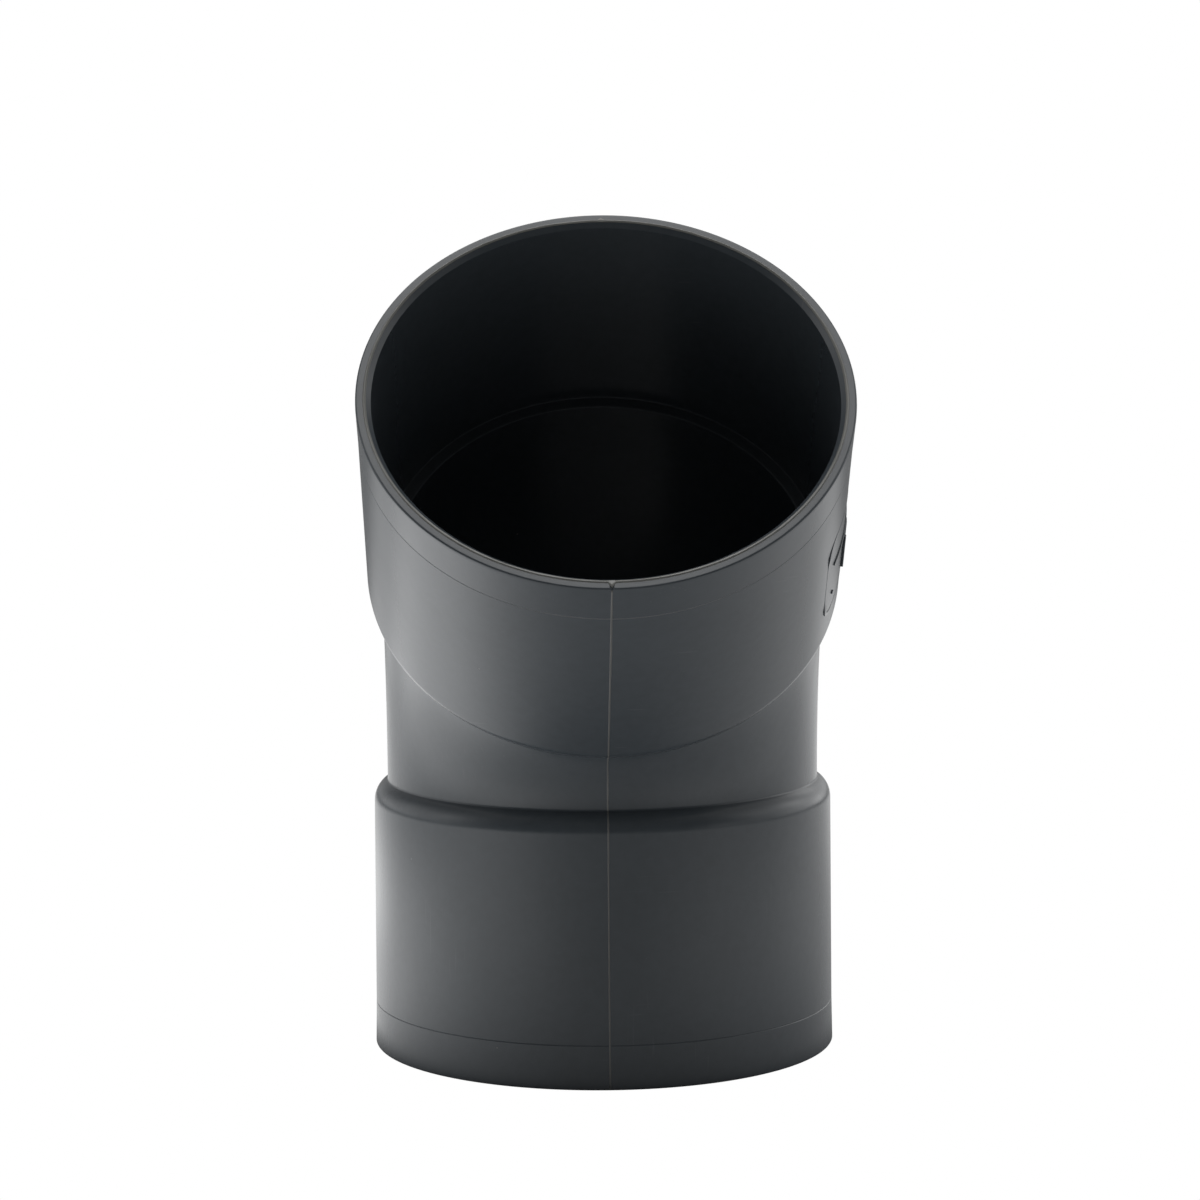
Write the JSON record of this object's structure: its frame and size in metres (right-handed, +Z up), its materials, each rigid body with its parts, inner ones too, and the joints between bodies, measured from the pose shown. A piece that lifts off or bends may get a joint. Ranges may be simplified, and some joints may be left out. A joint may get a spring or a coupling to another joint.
{
  "type": "pvc pipe elbow, 45 degree, double socket",
  "caption": "Dark grey PVC-U pipe elbow with a 45 degree bend and a plain glue socket at each end, standing on its lower socket.",
  "frame": {"origin": "centre of the lower socket's mouth, on the plane that the elbow stands on", "axes": "+Z up the lower socket's axis, the upper socket leans 45 degrees from +Z towards -Y, and +X is the side that carries the raised marking"},
  "size_m": [0.1181, 0.1707, 0.2112],
  "materials": {
    "grey_pvc": "moulded PVC-U, smooth satin"
  },
  "bodies": {
    "root": {"lower_rim_band": "grey_pvc", "lower_socket_wall": "grey_pvc", "lower_stop_shoulder": "grey_pvc", "bend_tube": "grey_pvc", "upper_stop_shoulder": "grey_pvc", "upper_socket_wall": "grey_pvc", "upper_rim_band": "grey_pvc", "upper_rim_flash": "grey_pvc", "front_parting_line": "grey_pvc", "rear_parting_line": "grey_pvc", "marking_frame": "grey_pvc", "marking_bars": "grey_pvc"}
  },
  "joints": []
}
